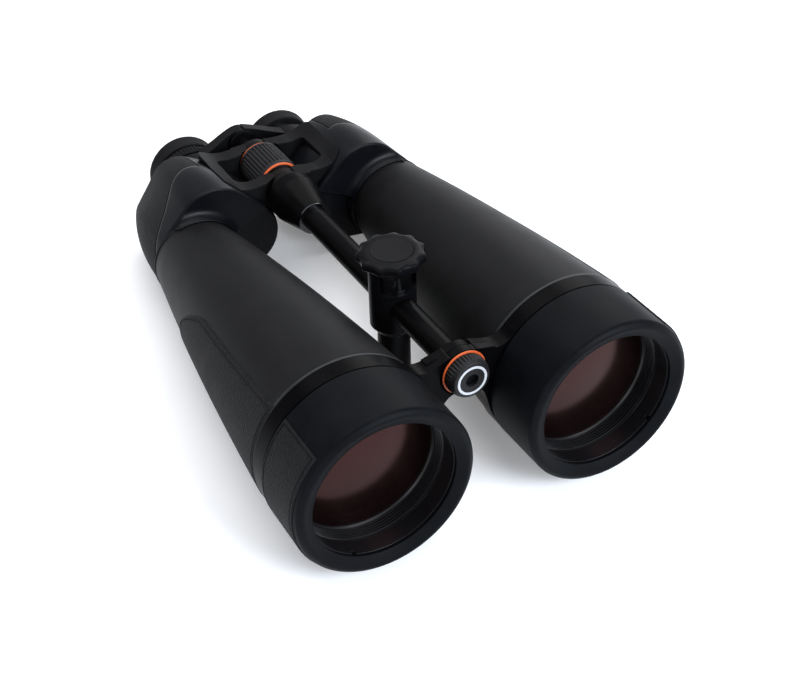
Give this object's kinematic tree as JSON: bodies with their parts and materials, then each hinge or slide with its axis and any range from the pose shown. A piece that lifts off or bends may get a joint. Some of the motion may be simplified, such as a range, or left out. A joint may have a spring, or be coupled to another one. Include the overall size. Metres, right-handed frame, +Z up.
{
  "type": "astronomy binoculars",
  "caption": "Giant Porro-prism binoculars with tapered barrels hinged on a long centre rod, a sliding tripod post with locking knob, centre focus wheel and twist-up eyecups.",
  "frame": {"origin": "centre of the bounding box's underside; the objective axes run 51.5 mm above it", "axes": "+X to the user's left, +Y from the objectives to the eyes, +Z up; the centre rod is parallel to Y"},
  "size_m": [0.2422, 0.352, 0.1084],
  "materials": {
    "hood_rubber": "matte fine-grained rubber armour",
    "grip_rubber": "pebbled rubber armour",
    "body_rubber": "satin rubber armour",
    "housing_rubber": "satin rubber armour",
    "body_black": "satin black paint on cast aluminium",
    "ring_black": "gloss black anodised, finely threaded",
    "rod_black": "satin black anodised",
    "frame_black": "fine matte black",
    "wheel_rubber": "ribbed rubber",
    "orange_trim": "satin orange",
    "bright_steel": "polished",
    "knob_gloss": "gloss black",
    "knob_inlay": "matte black inlay",
    "cap_disc": "plain pale ring",
    "coated_glass": "pink-brown anti-reflection coating",
    "eye_glass": "green-tinted coating",
    "prism_glass": "polished",
    "inner_aluminium": "matte machined",
    "eyecup_rubber": "soft matte rubber",
    "brass_bush": "machined",
    "shoe_plastic": "plain"
  },
  "bodies": {
    "centre": {"centre_rod": "rod_black", "hinge_collar": "rod_black", "collar_ring": "bright_steel", "centre_tube": "rod_black"},
    "left_half": {"left_hood": "hood_rubber", "left_hood_grip": "grip_rubber", "left_spanner_ring": "ring_black", "left_lens_cell": "ring_black", "left_objective_lenses": "coated_glass", "left_bridge_band": "body_black", "left_barrel": "body_rubber", "left_barrel_grip": "grip_rubber", "left_prism_housing": "housing_rubber", "left_housing_grip": "grip_rubber", "left_front_cover": "housing_rubber", "left_rear_cover": "body_black", "left_prisms": "prism_glass", "left_prism_shelf": "inner_aluminium", "left_hinge_frame": "frame_black"},
    "right_half": {"right_hood": "hood_rubber", "right_hood_grip": "grip_rubber", "right_spanner_ring": "ring_black", "right_lens_cell": "ring_black", "right_objective_lenses": "coated_glass", "right_bridge_band": "body_black", "right_barrel": "body_rubber", "right_barrel_grip": "grip_rubber", "right_prism_housing": "housing_rubber", "right_housing_grip": "grip_rubber", "right_front_cover": "housing_rubber", "right_rear_cover": "body_black", "right_prisms": "prism_glass", "right_prism_shelf": "inner_aluminium", "right_hinge_frame": "frame_black"},
    "focus_wheel": {"focus_wheel": "wheel_rubber", "focus_rings": "orange_trim"},
    "spindle": {"focus_spindle": "rod_black"},
    "left_carrier": {"left_eyepiece_carrier": "frame_black", "left_ocular": "ring_black", "left_ocular_lenses": "eye_glass"},
    "right_carrier": {"right_eyepiece_carrier": "frame_black"},
    "right_eyepiece": {"right_ocular": "ring_black", "right_ocular_lenses": "eye_glass"},
    "diopter": {"right_diopter_ring": "frame_black"},
    "left_sleeve": {"left_eyecup_sleeve": "ring_black"},
    "left_cup": {"left_eyecup": "eyecup_rubber"},
    "right_sleeve": {"right_eyecup_sleeve": "ring_black"},
    "right_cup": {"right_eyecup": "eyecup_rubber"},
    "cap_ring": {"front_cap_ring": "orange_trim"},
    "front_cap": {"front_cap": "wheel_rubber", "front_cap_disc": "cap_disc"},
    "post": {"post_body": "knob_gloss", "post_insert": "brass_bush", "clamp_shoe": "shoe_plastic"},
    "knob": {"post_knob": "knob_gloss", "knob_collar": "bright_steel", "knob_disc": "knob_inlay"}
  },
  "joints": [
    {"name": "left_fold", "type": "hinge", "parent": "centre", "child": "left_half", "pos_m": [0, 0, 0.0748], "axis": [0, 1, 0], "range_deg": [-4, 16]},
    {"name": "right_fold", "type": "hinge", "parent": "centre", "child": "right_half", "pos_m": [0, 0, 0.0748], "axis": [0, 1, 0], "range_deg": [-16, 4]},
    {"name": "focus_turn", "type": "hinge", "parent": "centre", "child": "focus_wheel", "pos_m": [0, 0, 0.0748], "axis": [0, 1, 0], "range_deg": [-270, 270]},
    {"name": "spindle_slide", "type": "slide", "parent": "centre", "child": "spindle", "axis": [0, 1, 0], "range_m": [-0.003, 0.003]},
    {"name": "left_carrier_slide", "type": "slide", "parent": "left_half", "child": "left_carrier", "axis": [0, 1, 0], "range_m": [-0.003, 0.003]},
    {"name": "right_carrier_slide", "type": "slide", "parent": "right_half", "child": "right_carrier", "axis": [0, 1, 0], "range_m": [-0.003, 0.003]},
    {"name": "right_eyepiece_slide", "type": "slide", "parent": "right_carrier", "child": "right_eyepiece", "axis": [0, 1, 0], "range_m": [-0.0015, 0.0015]},
    {"name": "diopter_turn", "type": "hinge", "parent": "right_eyepiece", "child": "diopter", "pos_m": [-0.0351, 0, 0.0541], "axis": [0, 1, 0], "range_deg": [-120, 120]},
    {"name": "left_cup_lift", "type": "slide", "parent": "left_carrier", "child": "left_sleeve", "axis": [0, 1, 0], "range_m": [0, 0.005]},
    {"name": "left_cup_turn", "type": "hinge", "parent": "left_sleeve", "child": "left_cup", "pos_m": [0.0351, 0, 0.0541], "axis": [0, 1, 0], "range_deg": [0, 180]},
    {"name": "right_cup_lift", "type": "slide", "parent": "right_eyepiece", "child": "right_sleeve", "axis": [0, 1, 0], "range_m": [0, 0.005]},
    {"name": "right_cup_turn", "type": "hinge", "parent": "right_sleeve", "child": "right_cup", "pos_m": [-0.0351, 0, 0.0541], "axis": [0, 1, 0], "range_deg": [0, 180]},
    {"name": "cap_travel", "type": "slide", "parent": "centre", "child": "cap_ring", "axis": [0, -1, 0], "range_m": [0, 0.004]},
    {"name": "cap_turn", "type": "hinge", "parent": "cap_ring", "child": "front_cap", "pos_m": [0, 0, 0.0748], "axis": [0, -1, 0], "range_deg": [0, 1440]},
    {"name": "post_slide", "type": "slide", "parent": "centre", "child": "post", "axis": [0, 1, 0], "range_m": [-0.025, 0.08]},
    {"name": "knob_turn", "type": "hinge", "parent": "post", "child": "knob", "pos_m": [0, -0.058, 0], "axis": [0, 0, 1], "range_deg": [-180, 180]}
  ],
  "couplings": [
    {"joint": "focus_turn", "follows": "spindle_slide", "rad_per_m": 1570.6},
    {"joint": "left_carrier_slide", "follows": "spindle_slide", "ratio": 1},
    {"joint": "right_carrier_slide", "follows": "spindle_slide", "ratio": 1},
    {"joint": "diopter_turn", "follows": "right_eyepiece_slide", "rad_per_m": 1396.1},
    {"joint": "left_cup_turn", "follows": "left_cup_lift", "rad_per_m": 628.26},
    {"joint": "right_cup_turn", "follows": "right_cup_lift", "rad_per_m": 628.26},
    {"joint": "cap_turn", "follows": "cap_travel", "rad_per_m": 6282.6}
  ]
}
